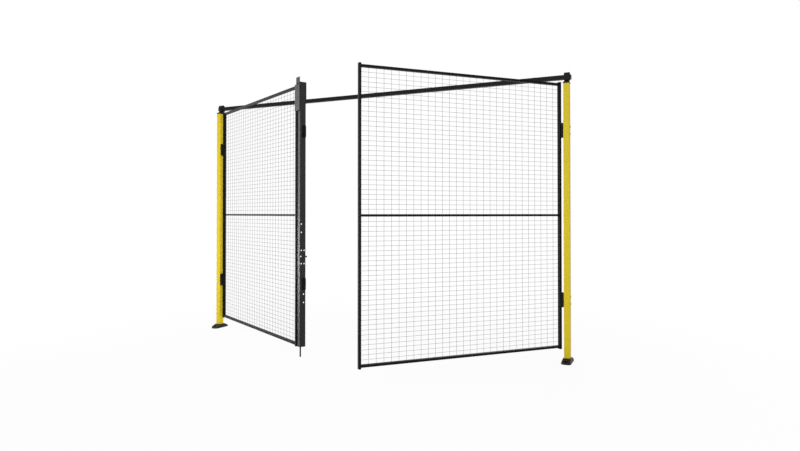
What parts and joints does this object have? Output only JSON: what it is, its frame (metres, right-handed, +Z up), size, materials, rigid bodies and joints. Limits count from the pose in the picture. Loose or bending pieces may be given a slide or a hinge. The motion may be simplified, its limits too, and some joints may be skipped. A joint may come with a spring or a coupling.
{
  "type": "mesh double door",
  "caption": "Machine-guard double door: hinged welded-mesh leaves between floor-anchored posts under a top bar, with a holed lock channel, stop plate and drop bolt.",
  "frame": {"origin": "centre of the left foot's underside, on the floor", "axes": "+X along the top bar towards the right post, +Y away from the side that the leaves open to, +Z up"},
  "size_m": [3.122, 1.1636, 1.9987],
  "materials": {
    "yellow_coat": "satin yellow powder coat",
    "black_coat": "satin black powder coat with a fine orange-peel grain",
    "pin_steel": "dark blackened steel",
    "black_plastic": "matt moulded plastic",
    "rubber": "matt black rubber"
  },
  "bodies": {
    "frame": {"left_post": "yellow_coat", "right_post": "yellow_coat", "left_foot": "black_coat", "left_bar_bracket": "black_coat", "left_post_hinges": "black_coat", "left_hinge_pins": "pin_steel", "right_foot": "black_coat", "right_bar_bracket": "black_coat", "right_post_hinges": "black_coat", "right_hinge_pins": "pin_steel", "crossbar": "black_coat", "crossbar_end_caps": "black_plastic"},
    "left_leaf": {"left_hinge_stile": "black_coat", "left_free_stile": "black_coat", "left_top_rail": "black_coat", "left_mid_rail": "black_coat", "left_bottom_rail": "black_coat", "left_upright_wires": "black_coat", "left_cross_wires": "black_coat", "left_leaf_hinges": "black_coat", "left_stile_caps": "black_plastic", "lock_profile": "black_coat", "stop_plate": "black_coat", "rear_plate": "black_coat", "buffers": "rubber", "bolt_guides": "black_coat", "catch_knob": "black_coat"},
    "right_leaf": {"right_hinge_stile": "black_coat", "right_free_stile": "black_coat", "right_top_rail": "black_coat", "right_mid_rail": "black_coat", "right_bottom_rail": "black_coat", "right_upright_wires": "black_coat", "right_cross_wires": "black_coat", "right_leaf_hinges": "black_coat", "right_stile_caps": "black_plastic"},
    "drop_bolt": {"drop_bolt": "pin_steel"}
  },
  "joints": [
    {"name": "left_leaf_hinge", "type": "hinge", "parent": "frame", "child": "left_leaf", "pos_m": [0.03, -0.0145, 0], "axis": [0, 0, -1], "range_deg": [-29, 81]},
    {"name": "right_leaf_hinge", "type": "hinge", "parent": "frame", "child": "right_leaf", "pos_m": [3.028, -0.0145, 0], "axis": [0, 0, 1], "range_deg": [-47.1, 62.9]},
    {"name": "drop_bolt_slide", "type": "slide", "parent": "left_leaf", "child": "drop_bolt", "axis": [0, 0, -1], "range_m": [0, 0.045]}
  ]
}
